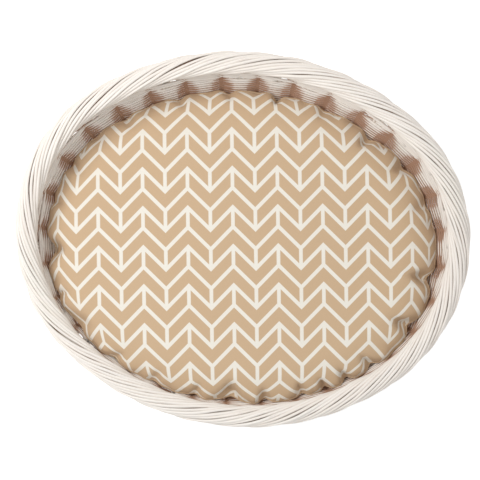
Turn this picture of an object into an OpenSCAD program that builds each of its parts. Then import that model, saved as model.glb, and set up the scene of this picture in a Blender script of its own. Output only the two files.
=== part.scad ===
// Oval wicker pet bed: a woven willow basket with a sloping rim and a loose, zipped cushion.
// Millimetres, +Z up, +X along the length, +Y towards the high back, origin on the floor at the middle.

/* [Plan of the basket] */
// Half length of the wall's middle surface at the floor
half_length = 250; // [247:1:253]
// How much longer than wide the plan is, measured from the middle
length_over_width = 53.5; // [52:0.5:55]
// Outward lean of the wall, in degrees
flare = 14; // [12:1:15]

/* [Rim] */
// Height of the border's centreline at the front
rim_front = 112; // [105:1:125]
// Height of the border's centreline at the back
rim_back = 166; // [155:1:175]
// Where the rim starts to rise, measured from the middle towards the back
rise_start = -190; // [-200:5:-180]
// Where the rim reaches its full height
rise_end = 190; // [170:5:200]
// Radius of the whole rolled border
border_r = 15; // [15:0.5:16]
// How far the border sits outside the wall's middle surface
border_out = 9; // [8.5:0.5:9.5]

/* [Willow] */
// Thickness of a side stake
stake_d = 5.5; // [4:0.5:5.5]
// Thickness of the woven wall
wall_t = 11; // [10.5:0.5:13]
// Height of the wale that locks the stakes at the foot
foot_h = 18; // [17:1:22]
// Height of the wale under the border
wale_h = 16; // [12:1:18]
// Height at which the full rows end and the packed rows of the back begin
packing_z = 86; // [84:1:90]
// Thickness of the woven base
base_t = 14; // [13:1:14]
// Thickness of a short base stick
short_stick_d = 9; // [8:0.5:10]
// Thickness of a long base stick
long_stick_d = 6; // [5:0.5:6]

/* [Cushion] */
// Height of the seam round the cushion
seam_z = 93; // [88:1:94]
// Height of the cushion's crown
crown_z = 120; // [112:1:124]
// Thickness of the cover's cloth
cloth_t = 1.2; // [0.8:0.1:1.5]
// Length of the zip in the underside
zip_length = 300; // [240:10:320]

/* [Hidden] */
stake_count = 32;
stake_names = [for (i = [0 : stake_count - 1]) str("stake_", i < 9 ? "0" : "", i + 1)];
short_stick_x = [-155, -121, -82, -41, 0, 41, 82, 121, 155];
short_stick_names = [for (i = [0 : len(short_stick_x) - 1]) str("base_short_stick_", i + 1)];
long_stick_y = [-10, 0, 10];
long_stick_names = ["base_long_stick_front", "base_long_stick_middle", "base_long_stick_back"];

white_willow = [0.93, 0.90, 0.86];
core_willow = [0.62, 0.45, 0.34];
tan_cloth = [0.80, 0.68, 0.54];
white_fibre = [0.95, 0.95, 0.93];
zip_cloth = [0.86, 0.78, 0.66];
zip_metal = [0.72, 0.72, 0.74];

$fn = 64;
play = 0.1;
lean = tan(flare);
plan_shift = -6.7; // the high back leans out further than the front, so this centres the whole

// The plan is four tangent arcs. Every ring of the basket is an offset of the same four.
// Their centres and radii differ by a 3-4-5 triangle, so the arcs meet exactly.
plan_unit = length_over_width / 2;
end_arc_offset = 3 * plan_unit;
side_arc_offset = 4 * plan_unit;
end_radius = half_length - end_arc_offset;
side_radius = end_radius + 5 * plan_unit;
junction = atan2(side_arc_offset, end_arc_offset);

function turned(a) = a - 360 * floor((a + 180) / 360);
function on_end(a) = abs(turned(a)) <= junction || abs(turned(a)) >= 180 - junction;
function arc_centre(a) = let (t = turned(a))
    on_end(a) ? [abs(t) < 90 ? end_arc_offset : -end_arc_offset, 0]
              : [0, t > 0 ? -side_arc_offset : side_arc_offset];
function arc_radius(a) = on_end(a) ? end_radius : side_radius;
function outward(a) = [cos(a), sin(a)];
// A point of the plan where the wall faces direction a, moved out by offset
function plan_point(a, offset) = arc_centre(a) + (arc_radius(a) + offset) * outward(a)
    + [0, plan_shift];
// Half width of the plan at a distance x from the middle
function plan_y(x, offset) = let (
    end_y = sqrt(max(0, pow(end_radius + offset, 2) - pow(abs(x) - end_arc_offset, 2))),
    side_y = sqrt(pow(side_radius + offset, 2) - x * x) - side_arc_offset)
    abs(x) > (side_radius + offset) * cos(junction) ? end_y : side_y;

// Stakes stand at even steps along the wall, counted from the right end towards the back.
spacing_offset = 14;
end_span = junction * PI / 180 * (end_radius + spacing_offset);
side_span = (90 - junction) * PI / 180 * (side_radius + spacing_offset);
quarter = end_span + side_span;
function quarter_angle(s) = s < end_span
    ? s / (end_radius + spacing_offset) * 180 / PI
    : junction + (s - end_span) / (side_radius + spacing_offset) * 180 / PI;
function facing(step) = let (
    s = (step + 0.5) / stake_count * 4 * quarter,
    k = floor(s / quarter),
    t = s - k * quarter)
    k % 2 == 0 ? k * 90 + quarter_angle(t) : (k + 1) * 90 - quarter_angle(quarter - t);

function smooth(t) = let (c = max(0, min(1, t))) c * c * (3 - 2 * c);
function rim_z(y) = rim_front
    + (rim_back - rim_front) * smooth((y - rise_start) / (rise_end - rise_start));
rim_guess = 30; // offset at which the rim's height is read
function border_z(step) = rim_z(plan_point(facing(step), rim_guess)[1]);
function border_centre(step) = let (z = border_z(step),
    p = plan_point(facing(step), (z - border_r) * lean + border_out)) [p[0], p[1], z];
// A point at angle psi and distance r in the border's cross-section
function in_border(step, psi, r) = let (n = outward(facing(step)))
    border_centre(step) + r * [cos(psi) * n[0], cos(psi) * n[1], sin(psi)];

function unit(v) = v / norm(v);

// A rod through points, with an elliptic six-sided section that faces the sides given
module rod(points, faces, widths, depth) {
    sides = 6;
    last = len(points) - 1;
    rings = [for (i = [0 : last]) let (
        along = unit(points[min(i + 1, last)] - points[max(i - 1, 0)]),
        b = unit(cross(along, faces[i])),
        a = cross(b, along))
        for (k = [0 : sides - 1]) points[i] + widths[i] / 2 * cos(k * 360 / sides) * b
            + depth / 2 / cos(30) * sin(k * 360 / sides) * a];
    polyhedron(points = rings, faces = concat(
        [[for (k = [0 : sides - 1]) k]],
        [[for (k = [sides - 1 : -1 : 0]) last * sides + k]],
        [for (i = [0 : last - 1]) for (k = [0 : sides - 1]) let (
            k2 = (k + 1) % sides,
            low = i * sides,
            high = low + sides)
            each [[low + k2, low + k, high + k2], [low + k, high + k, high + k2]]]),
        convexity = 6);
}

wedge_reach = 20 * plan_unit;

// The part of a full turn that lies beside an end arc or a side arc
module end_wedge(side) {
    linear_extrude(200) polygon([[side * end_arc_offset, 0],
        [side * (end_arc_offset + 3 * wedge_reach), 4 * wedge_reach],
        [side * (end_arc_offset + 6 * wedge_reach), 0],
        [side * (end_arc_offset + 3 * wedge_reach), -4 * wedge_reach]]);
}

module side_wedge(side) {
    linear_extrude(200) polygon([[-end_arc_offset, 0], [0, -side * side_arc_offset],
        [end_arc_offset, 0],
        [end_arc_offset + 3 * wedge_reach, side * 4 * wedge_reach],
        [-end_arc_offset - 3 * wedge_reach, side * 4 * wedge_reach]]);
}

// A ring whose profile is drawn from the plan's own arcs outwards
module plan_ring() {
    translate([0, plan_shift, 0]) for (side = [-1, 1]) {
        intersection() {
            translate([side * end_arc_offset, 0, 0]) rotate_extrude($fn = 128)
                translate([end_radius, 0]) children();
            end_wedge(side);
        }
        intersection() {
            translate([0, -side * side_arc_offset, 0]) rotate_extrude($fn = 128)
                translate([side_radius, 0]) children();
            side_wedge(side);
        }
    }
}

// A leaning band of the wall from z0 to z1
module wall_band(z0, z1, thickness) {
    plan_ring() polygon([[z0 * lean - thickness / 2, z0], [z0 * lean + thickness / 2, z0],
                         [z1 * lean + thickness / 2, z1], [z1 * lean - thickness / 2, z1]]);
}

rim_samples = 16;
far = 400;

function rim_line(drop) = concat([[-far, rim_front - drop]],
    [for (i = [0 : rim_samples]) let (y = rise_start + (rise_end - rise_start) * i / rim_samples)
        [y, rim_z(y) - drop]],
    [[far, rim_back - drop]]);

// Everything between the floor line and a line that runs drop below the border's centreline
module below_rim(drop) {
    rotate([90, 0, 90]) linear_extrude(2 * far, center = true)
        polygon(concat([[far, -10], [-far, -10]], rim_line(drop)));
}

// The strip between two lines that follow the rim
module along_rim(low_drop, high_drop) {
    high = rim_line(high_drop);
    rotate([90, 0, 90]) linear_extrude(2 * far, center = true)
        polygon(concat(rim_line(low_drop), [for (i = [len(high) - 1 : -1 : 0]) high[i]]));
}

stake_level = 10; // height of the stakes' feet and of the base sticks
foot_length = 36;
channel_sides = 8;
channel_r = (stake_d / 2 / cos(30) + play) / cos(180 / channel_sides);

function wall_point(i, z) = let (p = plan_point(facing(i), z * lean)) [p[0], p[1], z];

// The eight-sided hole that stake i runs through, from its foot to the top of the wall
module stake_channel(i) {
    low = wall_point(i, stake_level);
    high = wall_point(i, rim_back + border_r);
    translate(low) rotate([0, flare, facing(i)])
        cylinder(r = channel_r, h = norm(high - low), $fn = channel_sides);
    // room for the bend at the foot
    translate(low) rotate([0, 0, facing(i)])
        translate([-6, -3.6, -3.8]) cube([9.6, 7.2, 9.2]);
    inner = plan_point(facing(i), -foot_length - play);
    translate([inner[0], inner[1], stake_level]) rotate([0, 90, facing(i)])
        cylinder(r = channel_r, h = foot_length, $fn = channel_sides);
}

module foot_wale() {
    color(white_willow) difference() {
        wall_band(0, foot_h, wall_t + 4);
        for (i = [0 : stake_count - 1]) stake_channel(i);
    }
}

module side_weave() {
    color(white_willow) difference() {
        intersection() {
            wall_band(foot_h, packing_z, wall_t);
            below_rim(border_r + wale_h);
        }
        for (i = [0 : stake_count - 1]) stake_channel(i);
    }
}

module packing_weave() {
    color(white_willow) difference() {
        intersection() {
            wall_band(packing_z, rim_back, wall_t);
            below_rim(border_r + wale_h);
        }
        for (i = [0 : stake_count - 1]) stake_channel(i);
    }
}

module top_wale() {
    color(white_willow) difference() {
        intersection() {
            wall_band(foot_h, rim_back, wall_t + 1);
            along_rim(border_r + wale_h, border_r + 0.2);
        }
        for (i = [0 : stake_count - 1]) stake_channel(i);
    }
}

base_z = 3;
base_top = base_z + base_t;

module plate_disc(radius) {
    edge = radius - (wall_t + 4) / 2 - play;
    translate([0, 0, base_z])
        cylinder(r1 = edge + base_z * lean, r2 = edge + base_top * lean, h = base_t, $fn = 128);
}

// The base plate fills the plan out to the foot wale.
module base_plate() {
    translate([0, plan_shift, 0]) for (side = [-1, 1]) {
        intersection() {
            translate([side * end_arc_offset, 0, 0]) plate_disc(end_radius);
            end_wedge(side);
        }
        intersection() {
            translate([0, -side * side_arc_offset, 0]) plate_disc(side_radius);
            side_wedge(side);
        }
    }
}

stick_end = -9; // offset at which the base sticks end

module short_stick_bar(i, r) {
    x = short_stick_x[i];
    half = plan_y(x, stick_end);
    translate([x, plan_shift, stake_level]) rotate([90, 0, 0])
        cylinder(r = r, h = 2 * half, center = true);
}

module long_stick_bar(j, r) {
    half = end_arc_offset + sqrt(pow(end_radius + stick_end, 2) - pow(long_stick_y[j], 2));
    translate([0, long_stick_y[j] + plan_shift, stake_level]) rotate([0, 90, 0])
        cylinder(r = r, h = 2 * half, center = true);
}

module short_stick(i) {
    color(white_willow) difference() {
        short_stick_bar(i, short_stick_d / 2);
        for (j = [0 : len(long_stick_y) - 1]) long_stick_bar(j, long_stick_d / 2 + play / 2);
    }
}

module long_stick(j) {
    color(white_willow) long_stick_bar(j, long_stick_d / 2);
}

module base_weave() {
    color(white_willow) difference() {
        base_plate();
        for (i = [0 : len(short_stick_x) - 1]) short_stick_bar(i, short_stick_d / 2 + play / 2);
        for (j = [0 : len(long_stick_y) - 1]) long_stick_bar(j, long_stick_d / 2 + play / 2);
        for (i = [0 : stake_count - 1]) stake_channel(i);
    }
}

// The border: five stakes lie side by side round the core at every cross-section.
strands = 5;
strand_step = 62; // degrees round the border from one stake to the next, clockwise from above
strand_start = -130;
strand_r = border_r - stake_d / 2;
core_r = border_r - stake_d / cos(30) - play;
strand_w = 11.2;
rings_per_step = 3;

// A side stake: its foot in the base, the upright in the wall, and its top wound round the border
module stake(i) {
    n = outward(facing(i));
    inward = [-n[0], -n[1], 0];
    foot_in = plan_point(facing(i), -foot_length);
    foot_out = plan_point(facing(i), -6);
    elbow = plan_point(facing(i), -1.2);
    top_z = border_z(i) - border_r;
    helix = [for (k = [1 : strands * rings_per_step]) k / rings_per_step];
    points = concat(
        [[foot_in[0], foot_in[1], stake_level], [foot_out[0], foot_out[1], stake_level],
         [elbow[0], elbow[1], stake_level + 1.4],
         wall_point(i, stake_level + 6), wall_point(i, (stake_level + top_z) / 2),
         wall_point(i, top_z - 10), wall_point(i, top_z - 1),
         in_border(i - 0.12, strand_start - 7, strand_r + 1.2)],
        [for (t = helix) in_border(i - t, strand_start - strand_step * t, strand_r)]);
    sides = concat(
        [[0, 0, 1], [0, 0, 1], inward + [0, 0, 1], inward, inward, inward,
         inward + [0, 0, -0.4], in_border(i, strand_start - 7, 1) - border_centre(i)],
        [for (t = helix) in_border(i - t, strand_start - strand_step * t, 1)
            - border_centre(i - t)]);
    widths = concat([for (k = [0 : 6]) stake_d], [stake_d + 2],
        [for (t = helix) t < 0.5 ? strand_w - 1 : t > strands - 0.5 ? strand_w - 4 : strand_w]);
    color(white_willow) rod(points, sides, widths, stake_d);
}

// The bundle of rod ends that the stakes wind round
module border_core() {
    count = 96;
    sides = 8;
    rings = [for (i = [0 : count - 1]) for (k = [0 : sides - 1])
        in_border(i * stake_count / count, k * 360 / sides, core_r)];
    color(core_willow) polyhedron(points = rings, faces =
        [for (i = [0 : count - 1]) let (i2 = (i + 1) % count)
            for (k = [0 : sides - 1]) let (k2 = (k + 1) % sides)
                [i * sides + k, i * sides + k2, i2 * sides + k2, i2 * sides + k]],
        convexity = 8);
}

// The cushion is a crowned pillow: its cross-section shrinks from the seam towards the middle.
cushion_gap = 1.1; // between the cushion's seam and the wall
seam_offset = seam_z * lean - wall_t / 2 - cushion_gap;
cushion_bottom = base_top + 0.3;
cushion_steps = 48;
shrink = [1, 0.97, 0.94, 0.89, 0.8, 0.66, 0.48, 0.25];

function crown(k) = sqrt(1 - pow(k, 2.6));
function top_height(k, z_edge, z_top) = z_edge + (z_top - z_edge) * crown(k);
function belly(k) = pow(max(0, 1 - pow(k, 5)), 0.55);
function low_height(k, z_edge, z_low) = z_edge + (z_low - z_edge) * belly(k);
function cushion_ring(k, inset, z) = [for (s = [0 : cushion_steps - 1]) let (
    a = facing(s * stake_count / cushion_steps),
    p = plan_point(a, seam_offset - inset) - [0, plan_shift])
    [p[0] * k, p[1] * k + plan_shift, z]];

// Rings of a dome from the seam inwards, then its pole
function dome(inset, upper, z_edge, z_end) = concat(
    [for (k = shrink) each cushion_ring(k, inset,
        upper ? top_height(k, z_edge, z_end) : low_height(k, z_edge, z_end))],
    [[0, plan_shift, z_end]]);

function dome_faces(start, outward_up) = let (
    n = cushion_steps,
    levels = len(shrink),
    quads = [for (r = [0 : levels - 2]) for (s = [0 : n - 1]) let (s2 = (s + 1) % n)
        each [[r * n + s, (r + 1) * n + s, (r + 1) * n + s2],
              [r * n + s, (r + 1) * n + s2, r * n + s2]]],
    cap = [for (s = [0 : n - 1]) [(levels - 1) * n + s, levels * n, (levels - 1) * n + (s + 1) % n]],
    all = concat(quads, cap))
    [for (f = all) outward_up ? [f[0] + start, f[1] + start, f[2] + start]
                              : [f[2] + start, f[1] + start, f[0] + start]];

// A skin between two domes that share the seam's edge strip
module dome_skin(outer, inner, upper) {
    n = cushion_steps;
    start = len(outer);
    strip = [for (s = [0 : n - 1]) let (s2 = (s + 1) % n)
        each upper ? [[s, s2, start + s2], [s, start + s2, start + s]]
                   : [[s2, s, start + s2], [start + s2, s, start + s]]];
    polyhedron(points = concat(outer, inner),
        faces = concat(dome_faces(0, upper), dome_faces(start, !upper), strip), convexity = 4);
}

zip_well = 17.9; // width of the slit that the zip sits in
well_top = 27;

module zip_slit(length, width, z0, z1) {
    translate([-length / 2, plan_shift - width / 2, z0]) cube([length, width, z1 - z0]);
}

module cushion_top_panel() {
    color(tan_cloth) dome_skin(dome(0, true, seam_z, crown_z),
        dome(cloth_t, true, seam_z, crown_z - cloth_t), true);
}

module cushion_bottom_panel() {
    color(tan_cloth) difference() {
        dome_skin(dome(0, false, seam_z - 0.05, cushion_bottom),
            dome(cloth_t, false, seam_z - 0.05, cushion_bottom + cloth_t), false);
        zip_slit(zip_length + 2, zip_well, cushion_bottom - 1, well_top);
    }
}

module cushion_filling() {
    inset = cloth_t + 0.05;
    top = dome(inset, true, seam_z, crown_z - inset - 0.1);
    low = dome(inset, false, seam_z, cushion_bottom + inset + 0.1);
    n = cushion_steps;
    // both domes share their first ring, so the lower one starts at its second
    low_points = [for (i = [n : len(low) - 1]) low[i]];
    shift = len(top) - n;
    low_faces = [for (f = dome_faces(0, false)) [for (v = f) v < n ? v : v + shift]];
    color(white_fibre) difference() {
        polyhedron(points = concat(top, low_points), faces = concat(dome_faces(0, true), low_faces),
            convexity = 4);
        zip_slit(zip_length + 4, zip_well + 2, cushion_bottom, well_top);
    }
}

// Half of the zip: a folded tape with its row of teeth as a bead along the free edge
tape_t = 0.9;
bead_gap = 0.7;
bead_w = 1.9;
bead_low = 22.9;
bead_high = 24.9;
module zip_half() {
    edge = zip_well / 2;
    inner = edge - tape_t;
    bead_end = bead_gap + bead_w;
    rotate([90, 0, 90]) linear_extrude(zip_length, center = true)
        polygon([[edge - 0.05, cushion_bottom + 0.1], [inner, cushion_bottom + 0.1],
                 [inner, 23.4], [bead_end, 23.4], [bead_end, bead_low], [bead_gap, bead_low],
                 [bead_gap, bead_high], [bead_end, bead_high], [bead_end, 24.3],
                 [edge - 0.05, 24.3]]);
}

module zip_tape_back() {
    color(zip_cloth) translate([0, plan_shift, 0]) zip_half();
}

module zip_tape_front() {
    color(zip_cloth) translate([0, plan_shift, 0]) mirror([0, 1, 0]) zip_half();
}

slider_length = 12;
slider_width = 8;
wing_t = 1.1;
slider_play = 0.2;
slider_x = zip_length / 2 - 14;
lower_wing = bead_low - slider_play - wing_t;
hinge_z = 20.2;
hinge_x = slider_x - 3;
hinge_r = 0.6;

module slider_block(length, width, z0, z1) {
    translate([slider_x - length / 2, plan_shift - width / 2, z0])
        cube([length, width, z1 - z0]);
}

// Two wings either side of the teeth, the post between them, and the lugs that carry the pull
module zip_slider() {
    color(zip_metal) {
        slider_block(slider_length, slider_width, lower_wing, lower_wing + wing_t);
        slider_block(slider_length, slider_width, bead_high + slider_play,
            bead_high + slider_play + wing_t);
        slider_block(slider_length / 3, 2 * (bead_gap - slider_play), lower_wing,
            bead_high + slider_play + wing_t);
        for (side = [-1, 1]) translate([hinge_x, plan_shift + side * 2.6, 0]) {
            translate([-1.2, -0.5, hinge_z]) cube([2.4, 1, lower_wing - hinge_z + 0.1]);
            translate([0, 0.5, hinge_z]) rotate([90, 0, 0]) cylinder(r = 1.2, h = 1);
        }
        translate([hinge_x, plan_shift, hinge_z]) rotate([90, 0, 0])
            cylinder(r = hinge_r, h = 6, center = true);
    }
}

pull_length = 16;
pull_w = 3.8;
module zip_pull() {
    color(zip_metal) difference() {
        union() {
            translate([hinge_x, plan_shift + pull_w / 2, hinge_z]) rotate([90, 0, 0])
                cylinder(r = 1.15, h = pull_w);
            translate([hinge_x - pull_length, plan_shift - pull_w / 2, hinge_z - 0.5])
                cube([pull_length, pull_w, 1]);
        }
        translate([hinge_x, plan_shift, hinge_z]) rotate([90, 0, 0])
            cylinder(r = hinge_r + 0.06, h = 10, center = true);
    }
}

foot_wale();
base_weave();
side_weave();
packing_weave();
top_wale();
border_core();
for (j = [0 : len(long_stick_names) - 1])
    long_stick(j);
for (i = [0 : len(short_stick_names) - 1])
    short_stick(i);
for (i = [0 : stake_count - 1])
    stake(i);
cushion_filling();
cushion_top_panel();
cushion_bottom_panel();
zip_tape_front();
zip_tape_back();
zip_slider();
zip_pull();
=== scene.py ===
import math

import bpy
import numpy as np
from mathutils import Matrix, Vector


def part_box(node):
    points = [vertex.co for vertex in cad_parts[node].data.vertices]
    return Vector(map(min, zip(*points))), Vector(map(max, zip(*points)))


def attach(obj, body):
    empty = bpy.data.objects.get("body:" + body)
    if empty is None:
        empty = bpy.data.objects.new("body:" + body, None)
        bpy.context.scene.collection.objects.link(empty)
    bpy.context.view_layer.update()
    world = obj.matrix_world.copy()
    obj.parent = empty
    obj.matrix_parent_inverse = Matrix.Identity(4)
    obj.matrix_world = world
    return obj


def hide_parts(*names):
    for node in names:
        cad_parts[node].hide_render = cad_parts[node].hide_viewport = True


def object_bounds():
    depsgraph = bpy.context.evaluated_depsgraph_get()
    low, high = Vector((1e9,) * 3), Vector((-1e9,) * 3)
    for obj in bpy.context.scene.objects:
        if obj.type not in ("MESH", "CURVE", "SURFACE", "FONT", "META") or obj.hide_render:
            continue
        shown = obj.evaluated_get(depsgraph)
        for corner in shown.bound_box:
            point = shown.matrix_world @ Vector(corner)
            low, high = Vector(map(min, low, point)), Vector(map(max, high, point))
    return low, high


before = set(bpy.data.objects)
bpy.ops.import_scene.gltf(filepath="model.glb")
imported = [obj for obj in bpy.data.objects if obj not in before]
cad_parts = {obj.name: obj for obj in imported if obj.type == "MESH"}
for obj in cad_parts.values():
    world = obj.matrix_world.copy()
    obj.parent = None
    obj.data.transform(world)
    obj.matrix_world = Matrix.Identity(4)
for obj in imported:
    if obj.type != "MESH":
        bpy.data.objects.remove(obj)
cad_low, cad_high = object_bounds()
rng = np.random.default_rng(32)


# ---------------------------------------------------------------- camera

ROLL = math.radians(5.5)  # the basket's long axis runs slightly downhill in the picture
CAMERA_HEIGHT = 1.9
PICTURE_SPAN = 480 / 454.5  # picture's width over the basket's length in it
RIM_SHARE = 0.74  # height of the widest part of the border, as a share of the basket's height
CAMERA_SHIFT = (-0.0040, 0.0046)


def make_camera():
    centre = (cad_low + cad_high) / 2
    rim = RIM_SHARE * cad_high.z
    half = (cad_high.x - cad_low.x) / 2 * PICTURE_SPAN / (CAMERA_HEIGHT - rim)
    data = bpy.data.cameras.new("camera")
    data.sensor_width = 36
    data.lens = data.sensor_width / 2 / half
    data.clip_start, data.clip_end = 0.05, 20
    data.shift_x, data.shift_y = CAMERA_SHIFT
    camera = bpy.data.objects.new("camera", data)
    camera.location = (centre.x, centre.y, CAMERA_HEIGHT)
    camera.rotation_euler = (0, 0, ROLL)
    bpy.context.collection.objects.link(camera)
    bpy.context.scene.camera = camera


make_camera()


# ---------------------------------------------------------------- plan of the basket

STAKES = 32
WALL_T = 0.011  # the CAD's woven wall
FOOT_T = 0.015  # the CAD's foot wale
STAKE_D = 0.0055
SPACING_OFFSET = 0.014  # the stakes are evenly spaced along the plan at this offset

foot_low, foot_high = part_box("foot_wale")
side_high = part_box("side_weave")[1]
LEAN = (side_high.x - foot_high.x + (FOOT_T - WALL_T) / 2) / (side_high.z - foot_high.z)
foot_half = FOOT_T / 2 + foot_high.z * LEAN
HALF_LENGTH = foot_high.x - foot_half
HALF_WIDTH = (foot_high.y - foot_low.y) / 2 - foot_half
PLAN_Y = (foot_high.y + foot_low.y) / 2

# The plan is four tangent arcs whose centres and radii differ by a 3-4-5 triangle.
UNIT = (HALF_LENGTH - HALF_WIDTH) / 2
END_X, SIDE_Y = 3 * UNIT, 4 * UNIT
END_R = HALF_LENGTH - END_X
SIDE_R = END_R + 5 * UNIT
JUNCTION = math.degrees(math.atan2(4, 3))

END_SPAN = math.radians(JUNCTION) * (END_R + SPACING_OFFSET)
SIDE_SPAN = math.radians(90 - JUNCTION) * (SIDE_R + SPACING_OFFSET)
QUARTER = END_SPAN + SIDE_SPAN
STEP = 4 * QUARTER / STAKES  # metres from one stake to the next


def outward(angle):
    a = np.radians(angle)
    return np.stack([np.cos(a), np.sin(a), np.zeros_like(a)], -1)


def plan(angle, offset, z):
    """Points of the plan where the wall faces angle, moved out by offset, at height z."""
    angle, offset, z = np.broadcast_arrays(np.asarray(angle, float), offset, z)
    t = (angle + 180) % 360 - 180
    end = (np.abs(t) <= JUNCTION) | (np.abs(t) >= 180 - JUNCTION)
    centre_x = np.where(end, np.where(np.abs(t) < 90, END_X, -END_X), 0.0)
    centre_y = np.where(end, 0.0, np.where(t > 0, -SIDE_Y, SIDE_Y))
    radius = np.where(end, END_R, SIDE_R) + offset
    n = outward(angle)
    return np.stack([centre_x + radius * n[..., 0], centre_y + radius * n[..., 1] + PLAN_Y, z], -1)


def facing(step):
    """The direction that the wall faces at a stake number, counted from the right end
    towards the back."""
    s = (np.asarray(step, float) + 0.5) / STAKES * 4 * QUARTER
    k = np.floor(s / QUARTER)
    t = s - k * QUARTER
    even = k % 2 == 0
    u = np.where(even, t, QUARTER - t)
    a = np.where(u < END_SPAN, np.degrees(u / (END_R + SPACING_OFFSET)),
                 JUNCTION + np.degrees((u - END_SPAN) / (SIDE_R + SPACING_OFFSET)))
    return np.where(even, k * 90 + a, (k + 1) * 90 - a)


def wall(step, z, depth=0.0):
    """Points of the leaning wall; depth is measured outwards from its middle surface."""
    return plan(facing(step), np.asarray(z) * LEAN + depth, z)


# ---------------------------------------------------------------- the border

BORDER_R = 0.015
BORDER_OUT = 0.009  # how far the border's middle is outside the wall's
WALE_H = 0.016
STRAND_STEP = 62.0  # degrees that a rod turns round the border from one stake to the next
STRAND_START = -130.0
STRAND_R = BORDER_R - STAKE_D / 2
CORE_R = BORDER_R - STAKE_D / math.cos(math.radians(30)) - 0.0001
RISE_START, RISE_END = -0.190, 0.190  # the rim rises from front to back between these
RIM_OFFSET = 0.030  # where the plan is read for the rim's height

core_low, core_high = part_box("border_core")
RIM_FRONT, RIM_BACK = core_low.z + CORE_R, core_high.z - CORE_R


def smooth(t):
    c = np.clip(t, 0, 1)
    return c * c * (3 - 2 * c)


def rim_height(y):
    return RIM_FRONT + (RIM_BACK - RIM_FRONT) * smooth((y - RISE_START) / (RISE_END - RISE_START))


def rim_at(step):
    return rim_height(plan(facing(step), RIM_OFFSET, 0)[..., 1])


def border_centre(step):
    z = rim_at(step)
    return plan(facing(step), (z - BORDER_R) * LEAN + BORDER_OUT, z)


def round_border(step, psi):
    """Unit vectors across the border at angle psi from straight outwards."""
    p = np.radians(psi)
    n = outward(facing(step)) * np.cos(p)[..., None]
    n[..., 2] = np.sin(p)
    return n


# ---------------------------------------------------------------- rods

MISSED_AND_SHADE_FROM, MISSED_AND_SHADE_RISE = 0.094, 0.042  # heights over which the brown low down inside, partly unpainted willow and partly painted shade, gives way to whole paint
FACING_PAINT = 0.9  # how well paint covers the side of a rod that faces away from the work
INSIDE_BROWN_TILT = 0.35  # how much more of the inside's low brown, partly unpainted willow and partly painted shade, there is at the right end than in the middle
PAINTED_GLINT_FROM, PAINTED_GLINT_RISE = 0.78, 0.14  # painted highlight: what stands out this far inside is painted white all the same, as bright dashes beside the stakes where light comes through the wall
INSIDE_SINE = 0.3  # below this a rod's surface faces the inside of the basket


def unit(v):
    return v / np.maximum(np.linalg.norm(v, axis=-1, keepdims=True), 1e-12)


def ease(points, count):
    """A smooth curve of count points through a few points, spaced by length (Catmull-Rom)."""
    p = np.asarray(points, float)
    p = np.vstack([2 * p[0] - p[1], p, 2 * p[-1] - p[-2]])
    length = np.concatenate([[0], np.cumsum(np.linalg.norm(np.diff(p[1:-1], axis=0), axis=1))])
    at = np.linspace(0, length[-1], count)
    i = np.clip(np.searchsorted(length, at, side="right") - 1, 0, len(length) - 2)
    t = ((at - length[i]) / (length[i + 1] - length[i]))[:, None]
    a, b, c, d = p[i], p[i + 1], p[i + 2], p[i + 3]
    return 0.5 * (2 * b + (c - a) * t + (2 * a - 5 * b + 4 * c - d) * t**2
                  + (3 * b - a - 3 * c + d) * t**3)


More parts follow.
